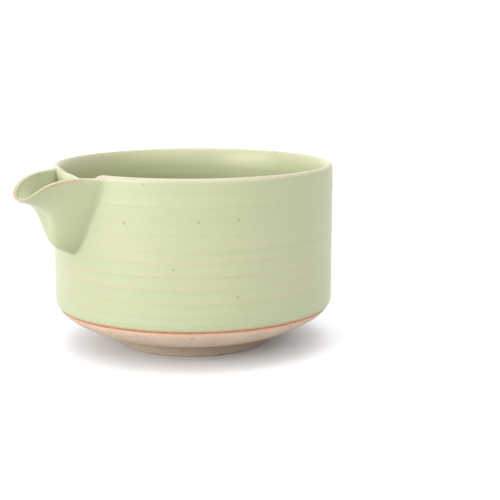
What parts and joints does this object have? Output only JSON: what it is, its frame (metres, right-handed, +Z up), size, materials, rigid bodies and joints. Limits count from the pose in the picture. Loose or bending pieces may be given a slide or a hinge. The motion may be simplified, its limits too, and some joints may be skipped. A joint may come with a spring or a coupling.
{
  "type": "matcha bowl",
  "caption": "Round straight-walled tea bowl with a pouring spout, a dip in the rim behind it, and a low foot ring.",
  "frame": {"origin": "centre of the foot's resting face, on the bowl's axis", "axes": "+Z up along the bowl's axis, spout towards -X"},
  "size_m": [0.1478, 0.124, 0.0801],
  "materials": {
    "stoneware": "matte bare clay with fine specks",
    "foot_clay": "matte bare clay, darker",
    "pale_green_glaze": "satin, cream where it breaks at edges",
    "iron_oxide": "matte rust flash"
  },
  "bodies": {
    "root": {"bowl_body": "stoneware", "foot_ring": "foot_clay", "spout": "stoneware", "luting_coil": "stoneware", "outer_glaze": "pale_green_glaze", "liner_glaze": "pale_green_glaze", "spout_glaze": "pale_green_glaze", "iron_line": "iron_oxide"}
  },
  "joints": []
}
